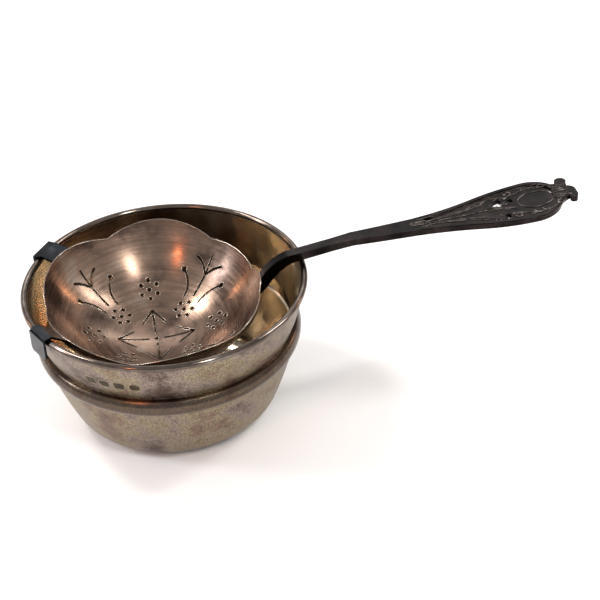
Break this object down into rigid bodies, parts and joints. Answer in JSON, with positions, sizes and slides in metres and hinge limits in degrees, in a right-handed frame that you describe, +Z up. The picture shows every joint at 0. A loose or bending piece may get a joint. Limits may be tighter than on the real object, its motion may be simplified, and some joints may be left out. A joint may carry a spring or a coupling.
{
  "type": "tea strainer with drip bowl",
  "caption": "Pierced tea strainer with a leaf-ended handle, hooked by folded lugs on the wired rim of its round drip bowl, from which it lifts off.",
  "frame": {"origin": "centre of the drip bowl's flat base, on the bowl's axis, on the surface it stands on", "axes": "+Z up along the drip bowl's axis, +X along the strainer's handle, +Y to the handle's left seen from the bowl"},
  "size_m": [0.1396, 0.07, 0.0441],
  "materials": {
    "silver_patina": "satin",
    "silver_wire": "polished",
    "silver_polished": "polished",
    "silver_dark": "polished"
  },
  "bodies": {
    "drip_bowl": {"drip_bowl_cup": "silver_patina", "drip_bowl_collar": "silver_patina", "rim_wire": "silver_wire"},
    "strainer": {"strainer_bowl": "silver_polished", "handle": "silver_dark", "back_lug": "silver_dark", "front_lug": "silver_dark"}
  },
  "joints": [
    {"name": "strainer_lift", "type": "slide", "parent": "drip_bowl", "child": "strainer", "axis": [0, 0, 1], "range_m": [0, 0.06]}
  ]
}
